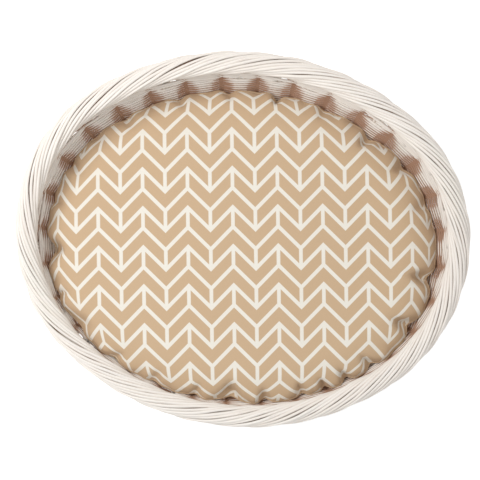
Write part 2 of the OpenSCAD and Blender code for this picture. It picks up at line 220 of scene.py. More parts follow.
class Rods:
    """Willow rods gathered into one mesh, with what their material needs on each point."""

    def __init__(self, sides=8):
        self.sides = sides
        self.points, self.faces, self.rod, self.shown, self.tone = [], [], [], [], []
        self.count = 0

    def add(self, path, radius, out, depth, reach, inside_missed_and_shade=0.0):
        """Sweeps a rod along path. out points away from the work's middle, depth is how far the
        path is from that middle, and reach is the depth at which the paint is whole.
        inside_missed_and_shade is how much of the basket's inside is left brown low down, partly
        unpainted willow and partly painted shade."""
        path = np.asarray(path, float)
        n, sides = len(path), self.sides
        radius = np.broadcast_to(np.asarray(radius, float), n)
        depth = np.broadcast_to(np.asarray(depth, float), n)
        ahead, behind = np.vstack([path[1:], path[-1:]]), np.vstack([path[:1], path[:-1]])
        along = unit(ahead - behind)
        side = unit(np.cross(along, out))
        up = np.cross(side, along)
        theta = np.arange(sides) * 2 * np.pi / sides
        c, s = np.cos(theta), np.sin(theta)
        ring = path[:, None] + radius[:, None, None] * (
            c[None, :, None] * side[:, None] + s[None, :, None] * up[:, None])
        length = np.concatenate([[0], np.cumsum(np.linalg.norm(np.diff(path, axis=0), axis=1))])
        tone = rng.uniform(0, 1)
        self.points.append(ring.reshape(-1, 3))
        self.rod.append(np.stack([
            np.repeat(length + tone * 9, sides), np.tile(c, n), np.tile(s, n)], -1))
        shown = np.abs(depth[:, None] + radius[:, None] * s[None]) / reach
        all_over = np.maximum(shown, FACING_PAINT * np.abs(s)[None])
        if inside_missed_and_shade:
            # brown low down inside: partly unpainted willow, partly painted shade, with more of it
            # towards the right end
            low_down = 1 - smooth((path[:, 2] - MISSED_AND_SHADE_FROM) / MISSED_AND_SHADE_RISE)
            low_down = low_down * (1 + INSIDE_BROWN_TILT * path[:, 0] / HALF_LENGTH)
            # painted highlight: the most proud spots inside stay white, short bright dashes where light
            # comes through beside the stakes
            painted_glint = smooth((shown - PAINTED_GLINT_FROM) / PAINTED_GLINT_RISE)
            missed_and_shaded = shown - inside_missed_and_shade * low_down[:, None] * (1 - painted_glint)
            shown = np.where(s[None] < INSIDE_SINE, missed_and_shaded, all_over)
        else:
            shown = all_over
        self.shown.append(shown.ravel())
        self.tone.append(np.full(n * sides, tone))
        i, k = np.meshgrid(np.arange(n - 1), np.arange(sides), indexing="ij")
        k2 = (k + 1) % sides
        low, high = self.count + i * sides, self.count + (i + 1) * sides
        quads = np.stack([low + k, high + k, high + k2, low + k2], -1).reshape(-1, 4)
        self.faces += quads.tolist()
        self.faces.append([self.count + v for v in range(sides)])
        self.faces.append([self.count + (n - 1) * sides + v for v in reversed(range(sides))])
        self.count += n * sides

    def piece(self, name, material):
        mesh = bpy.data.meshes.new(name)
        points = np.vstack(self.points)
        mesh.from_pydata(points.tolist(), [], self.faces)
        put = {"rod": ("FLOAT_VECTOR", "vector", np.vstack(self.rod)),
               "shown": ("FLOAT", "value", np.concatenate(self.shown)),
               "tone": ("FLOAT", "value", np.concatenate(self.tone))}
        for key, (kind, field, values) in put.items():
            layer = mesh.attributes.new(key, kind, "POINT")
            layer.data.foreach_set(field, values.astype(np.float32).ravel())
        mesh.shade_smooth()
        mesh.materials.append(material)
        piece = bpy.data.objects.new(name, mesh)
        bpy.context.collection.objects.link(piece)
        return piece


def wander(s, amount, wavelength):
    """Slow random wandering along s, a few waves of random phase."""
    out = np.zeros_like(s, dtype=float)
    for octave in range(3):
        w = wavelength / (1.7**octave) * rng.uniform(0.8, 1.25)
        out += np.sin(2 * np.pi * s / w + rng.uniform(0, 2 * np.pi)) / (1.5**octave)
    return amount * out / 1.8


# ---------------------------------------------------------------- materials

class Nodes:
    """Small helper that builds a node tree."""

    def __init__(self, name):
        self.material = bpy.data.materials.new(name)
        self.material.use_nodes = True
        self.tree = self.material.node_tree
        self.shader = self.tree.nodes["Principled BSDF"]

    def new(self, kind, **settings):
        node = self.tree.nodes.new(kind)
        for key, value in settings.items():
            setattr(node, key, value)
        return node

    def link(self, source, target):
        self.tree.links.new(source, target)

    def feed(self, node, index, value):
        if isinstance(value, bpy.types.NodeSocket):
            self.link(value, node.inputs[index])
        else:
            node.inputs[index].default_value = value

    def math(self, operation, a, b):
        node = self.new("ShaderNodeMath", operation=operation)
        self.feed(node, 0, a)
        self.feed(node, 1, b)
        return node.outputs[0]

    def vector(self, operation, a, b):
        node = self.new("ShaderNodeVectorMath", operation=operation)
        self.feed(node, 0, a)
        self.feed(node, 1, b)
        return node.outputs["Vector"]

    def attribute(self, name, output="Fac"):
        return self.new("ShaderNodeAttribute", attribute_name=name).outputs[output]

    def noise(self, vector, scale, detail, rough):
        node = self.new("ShaderNodeTexNoise")
        self.link(vector, node.inputs["Vector"])
        node.inputs["Scale"].default_value = scale
        node.inputs["Detail"].default_value = detail
        node.inputs["Roughness"].default_value = rough
        return node.outputs["Fac"]

    def ramp(self, value, low, high, to_low=0.0, to_high=1.0):
        node = self.new("ShaderNodeMapRange", interpolation_type="SMOOTHSTEP")
        for index, v in enumerate((value, low, high, to_low, to_high)):
            self.feed(node, index, v)
        return node.outputs[0]

    def mix(self, factor, a, b):
        node = self.new("ShaderNodeMix", data_type="RGBA")
        self.feed(node, 0, factor)
        self.feed(node, 6, a if isinstance(a, bpy.types.NodeSocket) else (*a, 1))
        self.feed(node, 7, b if isinstance(b, bpy.types.NodeSocket) else (*b, 1))
        return node.outputs[2]

    def bump(self, height, distance, strength):
        node = self.new("ShaderNodeBump")
        node.inputs["Strength"].default_value = strength
        node.inputs["Distance"].default_value = distance
        self.link(height, node.inputs["Height"])
        self.link(node.outputs[0], self.shader.inputs["Normal"])

    def colour(self, value):
        self.feed(self.shader, "Base Color", value)

    def set(self, **values):
        for key, value in values.items():
            self.shader.inputs[key.replace("_", " ")].default_value = value


def repaint(node_name, material):
    """Gives a CAD node that stays in view one of this script's materials."""
    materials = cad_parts[node_name].data.materials
    materials.clear()
    materials.append(material)


PAINT = (0.90, 0.865, 0.82)
PAINT_WARM = (0.83, 0.75, 0.67)
BARK = (0.50, 0.30, 0.20)
BARK_DARK = (0.30, 0.165, 0.105)
# how deep the brown in the hollows reaches: partly unpainted willow, partly painted shade
BORDER_BARE_AND_SHADE, WALL_BARE_AND_SHADE = 0.17, 0.10


def willow(name, bare_and_shade):
    """Willow painted white: whole on what stands out, thin along the grain, and brown in the
    hollows, partly unpainted willow and partly painted shade. bare raises how deep the brown reaches."""
    m = Nodes(name)
    rod, shown, tone = m.attribute("rod", "Vector"), m.attribute("shown"), m.attribute("tone")
    grain_space = m.vector("MULTIPLY", rod, (28, 2.2, 2.2))
    grain = m.noise(grain_space, 1.0, 4, 0.6)
    fine = m.noise(m.vector("MULTIPLY", rod, (60, 7, 7)), 1.0, 3, 0.6)
    patch = m.noise(m.vector("MULTIPLY", rod, (45, 1.0, 1.0)), 0.6, 2, 0.5)
    edge = m.math("ADD", shown, m.math("MULTIPLY", m.math("SUBTRACT", grain, 0.5), 0.7))
    # where this paint mask falls off, brown shows: partly unpainted willow, partly painted shade in the
    # hollows
    painted = m.ramp(edge, 0.18 + bare_and_shade, 0.46 + bare_and_shade)
    streak = m.ramp(grain, 0.60, 0.74)
    thin = m.math("MULTIPLY", streak, m.ramp(patch, 0.40, 0.62))
    white = m.mix(m.math("MULTIPLY", fine, 0.55), PAINT, PAINT_WARM)
    white = m.mix(m.math("MULTIPLY", tone, 0.35), white, PAINT_WARM)
    brown = m.mix(fine, BARK_DARK, BARK)
    colour = m.mix(m.math("MULTIPLY", thin, 0.45 + bare_and_shade), white, brown)
    m.colour(m.mix(painted, brown, colour))
    m.feed(m.shader, "Roughness", m.ramp(painted, 0, 1, 0.72, 0.5))
    m.set(Specular_IOR_Level=0.35)
    m.bump(m.math("ADD", m.math("MULTIPLY", grain, 0.7), m.math("MULTIPLY", fine, 0.5)), 0.0006, 0.5)
    return m.material


def plain_willow(name):
    """The same willow for sticks that carry no rod coordinates."""
    m = Nodes(name)
    place = m.new("ShaderNodeTexCoord").outputs["Object"]
    fine = m.noise(place, 900, 4, 0.6)
    broad = m.noise(place, 60, 3, 0.5)
    white = m.mix(fine, PAINT, PAINT_WARM)
    m.colour(m.mix(m.ramp(broad, 0.46, 0.66), white, BARK))
    m.feed(m.shader, "Roughness", m.ramp(broad, 0.3, 0.7, 0.5, 0.7))
    m.set(Specular_IOR_Level=0.35)
    m.bump(fine, 0.0005, 0.5)
    return m.material


def bare_core(name):
    m = Nodes(name)
    place = m.new("ShaderNodeTexCoord").outputs["Object"]
    fine = m.noise(place, 700, 4, 0.65)
    patch = m.ramp(m.noise(place, 22, 3, 0.6), 0.36, 0.50)
    m.colour(m.mix(patch, PAINT_WARM, m.mix(fine, BARK_DARK, BARK)))
    m.feed(m.shader, "Roughness", m.ramp(fine, 0.2, 0.8, 0.6, 0.8))
    m.bump(fine, 0.0008, 0.7)
    return m.material


border_willow = willow("border_willow", BORDER_BARE_AND_SHADE)
wall_willow = willow("wall_willow", WALL_BARE_AND_SHADE)
stick_willow = plain_willow("stick_willow")
core_willow = bare_core("core_willow")


# ---------------------------------------------------------------- stakes and border

SET_SPACING = 20.5  # degrees between the three rods of a set, round the border
BORDER_ROD_R = 0.00248
WOUND_FROM, WOUND_TO = 0.26, 4.95  # the stretch of the border that a rod covers, in stakes
WOUND_POINTS, STAKE_POINTS, BY_ROD_POINTS = 42, 26, 12
TURN_SPREAD, TURN_WANDER = 1.4, 2.2  # degrees that rods differ by, and wander along their way
DEPTH_SPREAD, DEPTH_WANDER = 0.0002, 0.00045
MIDDLE_PROUD, OTHERS_PROUD = 0.0009, -0.0001  # the middle rod of a set stands out
TUCK_FROM, TUCK_LENGTH, TUCK_DEPTH = 4.2, 0.7, 0.0035  # where its end dips under the others
BY_ROD_SIDE = 0.0044  # from a stake to the rods beside it
BY_ROD_LENGTH = 0.050
FOOT_PATH = ((-0.036, 0.010), (-0.008, 0.010), (-0.0012, 0.0114))  # offset and height
STAKE_FROM = 0.016  # height at which the stake is clear of its foot
NECK = (0.008, 0.002)  # depths below the border that the rods pass before they turn
STAKE_R, BY_ROD_SHARE = 0.0023, 0.85
STAKE_DEPTH, STAKE_REACH = 0.004, 0.0062


def border_rod(i, lane):
    """The wound part of a rod: its path, which way is out of the border, how far out it lies,
    and its share of the full thickness."""
    t = np.linspace(WOUND_FROM, WOUND_TO, WOUND_POINTS)
    at = i - t
    psi = (STRAND_START - STRAND_STEP * t + lane * SET_SPACING + rng.normal(0, TURN_SPREAD)
           + wander(t, TURN_WANDER, 2.6))
    r = (STRAND_R - 0.0002 + (MIDDLE_PROUD if lane == 0 else OTHERS_PROUD)
         + wander(t, DEPTH_WANDER, 1.9) + rng.normal(0, DEPTH_SPREAD))
    tail = smooth((t - TUCK_FROM) / TUCK_LENGTH)
    r = r - TUCK_DEPTH * tail
    across = round_border(at, psi)
    share = 1 - 0.35 * t / 5 - 0.25 * tail
    return border_centre(at) + across * np.asarray(r)[:, None], across, r, share


def stake_piece(i):
    """Stake i, from its foot in the base to its end in the border, with the two rods that lie
    beside it in the border."""
    rods = Rods()
    n = outward(facing(i))
    rim = rim_at(i)
    top = rim - BORDER_R
    for lane in (0, -1, 1):
        path, across, r, share = border_rod(i, lane)
        sideways = np.cross([0, 0, 1], n) * BY_ROD_SIDE * -lane
        if lane == 0:
            foot = [plan(facing(i), offset, z) for offset, z in FOOT_PATH]
            start = [wall(i, STAKE_FROM)]
        else:
            foot, start = [], [wall(i, max(top - BY_ROD_LENGTH, 0.03)) + sideways]
        heights = (0.5 * (start[0][2] + top), top - NECK[0], top - NECK[1])
        rise = foot + start + [wall(i, z) + sideways for z in heights]
        count = STAKE_POINTS if lane == 0 else BY_ROD_POINTS
        rise = ease(np.vstack(rise + [path[0]]), count)[:-1]
        whole = np.vstack([rise, path])
        out = np.vstack([np.tile(n, (len(rise), 1)), across])
        blend = np.linspace(0, 1, 6)[:, None]
        j = len(rise)
        out[j - 5:j + 1] = unit(out[j - 6] * (1 - blend) + across[0] * blend)
        depth = np.concatenate([np.full(len(rise), STAKE_DEPTH), r - CORE_R])
        radius = np.concatenate([
            np.full(len(rise), STAKE_R if lane == 0 else BORDER_ROD_R * BY_ROD_SHARE),
            BORDER_ROD_R * share * rng.uniform(0.96, 1.08) + np.zeros(len(path))])
        radius[j - 4:j + 1] = np.linspace(radius[0], radius[j], 5)
        rods.add(whole, radius, out, depth, STAKE_REACH)
    name = f"stake_{i + 1:02d}"
    piece = rods.piece(f"willow_{name}", border_willow)
    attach(piece, "basket")
    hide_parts(name)


for number in range(STAKES):
    stake_piece(number)


# ---------------------------------------------------------------- weave of the wall

ROW = 0.00365
WEAVER_R = 0.00155
WEAVER_DEPTH = 0.0034
WEAVER_MISSED_AND_SHADE, WALE_MISSED_AND_SHADE = 0.50, 0.25  # how much of the inside is left brown low down, partly unpainted willow and partly painted shade; see Rods.add
WEAVER_TAPER = (1.10, 0.86)  # a rod's thickness where it starts and ends, as a share
ROW_WANDER, PACKED_WANDER = 0.00035, 0.0003  # how far the rows wander up and down
PER_STEP = 8
FRONT, BACK = 23.5, 7.5  # the stake numbers at the middle of the front and of the back


def weaver(rods, first, last, z, parity):
    """One rod woven in front of one stake and behind the next, from step first to step last."""
    step = np.linspace(first, last, int(abs(last - first) * PER_STEP) + 1)
    wave = np.cos(np.pi * step) * (1 if parity else -1)
    height = z + wander(step, ROW_WANDER, 9.0) + 0.0003 * np.abs(wave)
    depth = WEAVER_DEPTH * wave + wander(step, 0.00025, 5.0)
    taper = np.linspace(*WEAVER_TAPER, len(step)) * (1 + wander(step, 0.03, 4.0))
    rods.add(wall(step, height, depth), WEAVER_R * taper, outward(facing(step)), depth,
             WEAVER_DEPTH + WEAVER_R, WEAVER_MISSED_AND_SHADE)


def full_rows():
    """The rows that go all the way round, up to the wale at the front."""
    low = foot_high.z + 0.0015
    top = RIM_FRONT - BORDER_R - WALE_H
    count = int((top - low) / ROW)
    pitch = (top - low) / count
    for row in range(count):
        rods = Rods(6)
        start = int(rng.integers(0, STAKES)) + 0.35
        weaver(rods, start, start + STAKES + 0.45, low + pitch * (row + 0.5), row % 2)
        piece = rods.piece(f"weave_row_{row + 1:02d}", wall_willow)
        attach(piece, "basket")
        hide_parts("side_weave")
    return top, count


def reach_of_row(z):
    """The stakes between which the wall is high enough for a packed row at height z."""
    steps = np.linspace(BACK, FRONT, 400)
    high = rim_at(steps) - BORDER_R - WALE_H > z
    last = steps[high][-1] if high.any() else BACK
    return math.floor(2 * BACK - last), math.ceil(last)


def turn(stake, z_low, z_high, parity):
    """The bend of a packed rod round its last stake: its place along the wall, height and depth."""
    phi = np.linspace(0, np.pi, 7)[1:-1]
    sign = (1 if stake % 2 == 0 else -1) * (1 if parity else -1)
    step = stake + WEAVER_DEPTH * np.sin(phi) / STEP
    return step, z_low + (z_high - z_low) * phi / np.pi, sign * WEAVER_DEPTH * np.cos(phi)


def packed_rows(start_z, parity):
    """The rows that build up the back and the sides. Each rod goes there and back, turns round
    its last stake, and is squeezed under the wale where the rim comes down."""
    row, z = 0, start_z + ROW / 2
    while True:
        low = reach_of_row(z)[0]
        next_low, next_high = reach_of_row(z + ROW)
        if next_high - next_low < 3:
            return
        rods = Rods(6)
        there = np.linspace(low, next_high, (next_high - low) * PER_STEP + 1)
        back = np.linspace(next_high, next_low, (next_high - next_low) * PER_STEP + 1)
        odd = (parity + row) % 2
        wave = np.cos(np.pi * there) * (1 if odd else -1)
        wave_back = -np.cos(np.pi * back) * (1 if odd else -1)
        bend = turn(next_high, z, z + ROW, odd)
        step = np.concatenate([there, bend[0], back])
        height = np.concatenate([np.full(len(there), z), bend[1], np.full(len(back), z + ROW)])
        depth = np.concatenate([WEAVER_DEPTH * wave, bend[2], WEAVER_DEPTH * wave_back])
        height = np.minimum(height + wander(step, PACKED_WANDER, 9.0),
                            rim_at(step) - BORDER_R - WALE_H - WEAVER_R * 0.5)
        taper = np.linspace(*WEAVER_TAPER, len(step))
        rods.add(wall(step, height, depth), WEAVER_R * taper, outward(facing(step)), depth,
                 WEAVER_DEPTH + WEAVER_R, WEAVER_MISSED_AND_SHADE)
        piece = rods.piece(f"packing_rod_{row // 2 + 1:02d}", wall_willow)
        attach(piece, "basket")
        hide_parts("packing_weave")
        row += 2
        z += 2 * ROW


full_top, full_count = full_rows()
packed_rows(full_top, full_count % 2)


# ---------------------------------------------------------------- wales

WALE_SPAN = 33  # the stakes that a rod of a wale passes: once round, and one more
WALE_TAPER = (1.06, 0.9)
FOOT_WALE_Z, FOOT_WALE_STEP = 0.0051, 0.0084  # the lower foot wale's height, and on to the next
TOP_WALE_Z, TOP_WALE_STEP = 0.0009, 0.0056  # the highest top wale's depth below the border, and on
# Radius of the rods, how far they go in and out, and how far up and down
FOOT_WALE_RODS = (0.0021, 0.0050, 0.0022)
TOP_WALE_RODS = (0.0019, 0.0042, 0.0018)


def wale(name, node, height_at, rods_r, depth_max, lift):
    """Three rods, each outside two stakes and inside the third, that turn round each other."""
    for k in range(3):
        rods = Rods(8)
        start = rng.integers(0, STAKES) // 3 * 3 - k
        step = np.linspace(start, start + WALE_SPAN, WALE_SPAN * PER_STEP + 1)
        phase = 2 * np.pi * (step + k) / 3
        depth = depth_max * np.tanh(2.2 * (0.35 - np.cos(phase)))
        height = height_at(step) + lift * np.sin(phase) + wander(step, 0.0003, 6.0)
        taper = np.linspace(*WALE_TAPER, len(step))
        rods.add(wall(step, height, depth), rods_r * taper, outward(facing(step)), depth,
                 depth_max + rods_r, WALE_MISSED_AND_SHADE)
        piece = rods.piece(f"{name}_{k + 1}", wall_willow)
        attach(piece, "basket")
        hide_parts(node)


for level in range(2):
    wale(f"foot_wale_{level + 1}", "foot_wale",
         lambda s, z=FOOT_WALE_Z + FOOT_WALE_STEP * level: np.full(len(s), z), *FOOT_WALE_RODS)
for level in range(3):
    wale(f"top_wale_{level + 1}", "top_wale",
         lambda s, d=TOP_WALE_Z + TOP_WALE_STEP * level: rim_at(s) - BORDER_R - d, *TOP_WALE_RODS)


# ---------------------------------------------------------------- base

BASE_Z = 0.010
BASE_ROW = 0.0037
BASE_R = 0.0016
BASE_LIFT, OUTER_LIFT = 0.0052, 0.0046  # how far a rod rises over a stick, and over a stake's foot
BASE_REACH = 0.0065
STAKE_FEET = -0.040  # outside this offset the base's rings meet the stakes' feet
CROSSING_NEAR = 0.004  # a ring meets a stick where it passes this close to the stick's middle
POINTS_PER_CROSSING = 7
EDGE_MARGIN, CORE_MARGIN, ROWS_MARGIN = 0.003, 0.008, 0.012
STRAIGHT_POINTS = 60
SHORT_X = sorted((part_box(n)[0].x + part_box(n)[1].x) / 2
                 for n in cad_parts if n.startswith("base_short_stick"))


def base_crossings(offset):
    """The angles at which a ring of the base meets a stick or a stake's foot."""
    if offset > STAKE_FEET:
        return np.sort(facing(np.arange(STAKES)) % 360)
    angles = []
    samples = np.arange(0, 360, 0.25)
    ring = plan(samples, offset, 0)
    for x in SHORT_X:
        for half in (ring[:, 1] > PLAN_Y, ring[:, 1] <= PLAN_Y):
            near = np.where(half, np.abs(ring[:, 0] - x), 9)
            if near.min() < CROSSING_NEAR:
                angles.append(samples[near.argmin()])
    return np.sort(np.unique(angles + [0.0, 180.0]))


def base_piece():
    """The base's rods: rings from the outside in, and then straight rows across the middle."""
    rods = Rods(6)
    offset, row = -FOOT_T / 2 - EDGE_MARGIN, 0
    while offset > -END_R + CORE_MARGIN:
        cross = base_crossings(offset)
        if len(cross) % 2:
            cross = cross[:-1]
        index = np.linspace(0, len(cross), len(cross) * POINTS_PER_CROSSING + 1)
        wrapped = np.concatenate([cross, [cross[0] + 360]])
        angle = np.interp(index, np.arange(len(wrapped)), wrapped)
        wave = np.cos(np.pi * index) * (1 if row % 2 else -1)
        lift = (BASE_LIFT if offset <= STAKE_FEET else OUTER_LIFT) * wave
        rods.add(plan(angle, offset, BASE_Z + lift), BASE_R, np.tile([0, 0, 1.0], (len(angle), 1)),
                 lift, BASE_REACH)
        offset -= BASE_ROW
        row += 1
    middle = 0.5 * (HALF_WIDTH - END_R) + ROWS_MARGIN
    y = -middle
    while y < middle:
        x = np.linspace(-END_X * 0.9, END_X * 0.9, STRAIGHT_POINTS)
        wave = np.cos(np.pi * x / (SHORT_X[5] - SHORT_X[4])) * (1 if row % 2 else -1)
        lift = BASE_LIFT * wave
        path = np.stack([x, np.full(len(x), y + PLAN_Y), BASE_Z + lift], -1)
        rods.add(path, BASE_R, np.tile([0, 0, 1.0], (len(x), 1)), lift, BASE_REACH)
        y += BASE_ROW
        row += 1
    piece = rods.piece("base_rods", wall_willow)
    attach(piece, "basket")
    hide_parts("base_weave")


base_piece()
for node_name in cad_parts:
    if node_name.startswith("base_") and node_name != "base_weave":
        repaint(node_name, stick_willow)
repaint("border_core", core_willow)


# ---------------------------------------------------------------- cushion

top_low, top_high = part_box("cushion_top_panel")
CUSHION_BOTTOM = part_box("cushion_bottom_panel")[0].z
SEAM_Z, CROWN_Z = top_low.z, top_high.z
SEAM_GAP = 0.0011  # between the seam and the wall
SIDE_GAP = 0.0012  # how much further in the side below the seam is
SEAM_OFFSET = SEAM_Z * LEAN - WALL_T / 2 - SEAM_GAP
MIDDLE = np.array([0, PLAN_Y, SEAM_Z])
MEAN_REACH = 0.235  # metres of seam for each radian, near enough

LOWER_R = 0.020  # rounding of the lower edge
SLIT = (0.151, 0.00895)  # half length and half width of the zip's slit
SLIT_SPREAD = (1.12, 0.12)  # how the rim's x and y are mapped onto the slit before they are cut off
SLIT_STEPS = (0.0205, 0.0238)  # heights of the slit's sides
WELL_TOP = 0.0268  # the pocket that the zip sits in

SECTORS = 360
EDGE_RINGS = 46
SIDE_ROWS, LOWER_ROWS, UNDER_ROWS = 9, 7, 15

SHOULDER = 0.052  # how far in from the seam the round edge goes
SHOULDER_SHARE, CROWN_SHARE = 0.78, 0.22  # of the rise, in the round edge and the crown
FULLNESS, FULLNESS_REACH = 0.45, 0.020  # spare cloth at the seam, and how far in it goes
UNDER_SPARE = 0.030  # shifts the print where it goes on below the seam

RUFFLE = 0.0006  # the small waves all round the seam
RUFFLE_REACH = 0.016
# Where the cover gathers: direction in degrees, half width, pull inwards and crease length in metres.
GATHERS = (
    (186, 0.013, 0.0105, 0.030),
    (160, 0.008, 0.0025, 0.022),
    (82, 0.007, 0.0080, 0.016),
    (118, 0.009, 0.0030, 0.024),
    (46, 0.009, 0.0075, 0.030),
    (18, 0.010, 0.0030, 0.030),
    (-4, 0.009, 0.0090, 0.060),
    (-20, 0.009, 0.0085, 0.050),
    (-37, 0.007, 0.0060, 0.035),
    (-46, 0.006, 0.0060, 0.030),
    (-54, 0.006, 0.0060, 0.026),
    (-62, 0.007, 0.0060, 0.030),
    (-89, 0.016, 0.0080, 0.045),
    (-118, 0.010, 0.0030, 0.028),
    (-150, 0.012, 0.0035, 0.030),
    (212, 0.009, 0.0030, 0.024),
    (200, 0.006, 0.0035, 0.020),
    (172, 0.006, 0.0030, 0.020),
    (-102, 0.008, 0.0045, 0.026),
    (-76, 0.009, 0.0050, 0.030),
    (-133, 0.008, 0.0035, 0.022),
    (64, 0.008, 0.0030, 0.022),
    (100, 0.007, 0.0035, 0.020),
    (138, 0.009, 0.0025, 0.024),
    (32, 0.008, 0.0040, 0.026),
)


def gathered(angle, inward):
    """How far the cover is drawn in at points that lie inward metres from the seam."""
    a = np.radians(angle)
    pull = RUFFLE * (np.sin(a * 37) + 0.7 * np.sin(a * 61 + 1)) * (1 - smooth(inward / RUFFLE_REACH))
    for centre, width, depth, reach in GATHERS:
        off = ((angle - centre + 180) % 360 - 180) * math.pi / 180 * MEAN_REACH
        narrowed = width * (1 - 0.6 * np.clip(inward / reach, 0, 1))
        pull += depth * np.exp(-((off / narrowed) ** 2)) * (1 - smooth(inward / reach))
    return pull


def shoulder(inward, share):
    """The top's rise above its seam, as a share of the whole rise, at points inward metres from
    the seam and share of the way to the middle: a round edge and then a gentle crown."""
    edge = np.sin(np.clip(inward / SHOULDER, 0, 1) * math.pi / 2) ** 0.62
    return SHOULDER_SHARE * edge + CROWN_SHARE * smooth(share * 1.15)


def top_rings(rim, out_dir, way, reach, shares):
    """The top's rings from the seam inwards, as they are and as they would be with no gathers."""
    rise = CROWN_Z - SEAM_Z
    rings, plain = [], []
    for share in shares:
        inward = share * reach
        ring = rim + (MIDDLE - rim) * share
        flat_ring = ring.copy()
        flat_ring[:, 2] = SEAM_Z + rise * shoulder(inward, share)
        pull = gathered(way, inward)
        ring = ring - out_dir * pull[:, None]
        dip = 0.25 + 2.0 * np.exp(-((inward - 0.012) / 0.014) ** 2)
        ring[:, 2] = SEAM_Z + rise * shoulder(inward, share) - pull * dip
        rings.append(ring)
        plain.append(flat_ring)
    return np.array(rings), np.array(plain)


def under_rings(spread, rim, out_dir, seam_pull):
    """The rings below the seam: down the wall, round the lower edge, in to the zip's slit, and
    up into it."""
    rings = []
    lower_z = CUSHION_BOTTOM + LOWER_R
    for t in np.linspace(0, 1, SIDE_ROWS)[1:]:
        z = SEAM_Z + (lower_z - SEAM_Z) * t
        ring = plan(spread, z * LEAN - WALL_T / 2 - SEAM_GAP - SIDE_GAP, z)
        rings.append(ring - out_dir * (seam_pull * (1 - smooth(t * 1.6)))[:, None])
    lower_offset = lower_z * LEAN - WALL_T / 2 - SEAM_GAP - SIDE_GAP
    for t in np.linspace(0, 1, LOWER_ROWS)[1:]:
        a = t * math.pi / 2
        rings.append(plan(spread, lower_offset - LOWER_R * (1 - math.cos(a)),
                          lower_z - LOWER_R * math.sin(a)))
    slit_x, slit_y = SLIT
    along = rim[:, 0] / (HALF_LENGTH + SEAM_OFFSET) * slit_x * SLIT_SPREAD[0]
    slit = np.stack([np.clip(along, -slit_x, slit_x),
                     PLAN_Y + np.clip((rim[:, 1] - PLAN_Y) * SLIT_SPREAD[1], -slit_y, slit_y),
                     np.full(SECTORS, CUSHION_BOTTOM)], -1)
    flat_edge = rings[-1]
    rings += [flat_edge + (slit - flat_edge) * t for t in np.linspace(0, 1, UNDER_ROWS)[1:]]
    for z in (*SLIT_STEPS, WELL_TOP):
        ring = slit.copy()
        ring[:, 2] = z
        rings.append(ring)
    return np.array(rings)


def band(outer, inner, turned):
    """The faces between two rings, given by the number of each ring's first point."""
    faces = []
    for k in range(SECTORS):
        j = (k + 1) % SECTORS
        quad = (outer + k, outer + j, inner + j, inner + k)
        faces.append((quad[0], quad[3], quad[2], quad[1]) if turned else quad)
    return faces


def cushion_grid():
    """The whole cushion as one closed cover: its points, faces, place of each point on the flat
    cloth, and looseness, and the direction out of the wall at each sector."""
    spread = facing(np.arange(SECTORS) * 360 / SECTORS / 360 * STAKES - 0.5)
    rim = plan(spread, SEAM_OFFSET, SEAM_Z)
    out_dir = outward(spread)
    way = np.degrees(np.arctan2(rim[:, 1] - PLAN_Y, rim[:, 0]))
    reach = np.linalg.norm(rim - MIDDLE, axis=1)
    direction = unit((rim - MIDDLE) * [1, 1, 0])
    crown = [0, PLAN_Y, CROWN_Z]

    # the rings are closest together near the seam
    shares = (np.linspace(0, 1, EDGE_RINGS) ** 1.5)[:-1]
    top, plain = top_rings(rim, out_dir, way, reach, shares)
    to_crown = np.concatenate([plain, [np.tile(crown, (SECTORS, 1))]])
    step = np.linalg.norm(np.diff(to_crown, axis=0), axis=2)
    spare = 1 + FULLNESS * np.exp(-((shares[:, None] * reach) / FULLNESS_REACH) ** 2)
    from_middle = np.cumsum((step * spare)[::-1], axis=0)[::-1]
    top_flat = direction[None] * from_middle[..., None]

    side = under_rings(spread, rim, out_dir, gathered(way, np.zeros(SECTORS)))
    whole = np.concatenate([[top[0]], side])
    down = np.cumsum(np.linalg.norm(np.diff(whole, axis=0), axis=2), axis=0)
    side_flat = direction[None] * (reach[None] + UNDER_SPARE - down)[..., None]

    middle = len(top) * SECTORS
    base = middle + 1
    final = base + (len(side) - 1) * SECTORS
    cap = final + SECTORS
    faces = []
    for i in range(len(top) - 1):
        faces += band(i * SECTORS, (i + 1) * SECTORS, False)
    last_ring = (len(top) - 1) * SECTORS
    faces += [(last_ring + k, last_ring + (k + 1) % SECTORS, middle) for k in range(SECTORS)]
    faces += band(0, base, True)
    for i in range(len(side) - 1):
        faces += band(base + i * SECTORS, base + (i + 1) * SECTORS, True)
    faces += [(final + k, cap, final + (k + 1) % SECTORS) for k in range(SECTORS)]

    points = np.concatenate([top.reshape(-1, 3), [crown], side.reshape(-1, 3), [[0, PLAN_Y, WELL_TOP]]])
    flat = np.zeros_like(points)
    flat[:middle, :2] = top_flat[..., :2].reshape(-1, 2)
    flat[:middle + 1, 2] = 1
    flat[base:cap, :2] = side_flat[..., :2].reshape(-1, 2)
    loose = np.zeros(len(points))
    loose[:middle] = np.clip(np.repeat(shares, SECTORS) * 30, 0, 1)
    loose[middle] = 1
    return points, faces, flat, loose, out_dir


PUFF_MOST = 0.012  # no point moves further than this
PUFF_FRAMES = 22
PUFF_SETTINGS = {
    "quality": 5, "mass": 0.15, "tension_stiffness": 18, "compression_stiffness": 18,
    "shear_stiffness": 8, "bending_stiffness": 0.6, "tension_damping": 8, "air_damping": 2,
    "shrink_min": -0.022, "use_pressure": True, "uniform_pressure_force": 3.2,
}


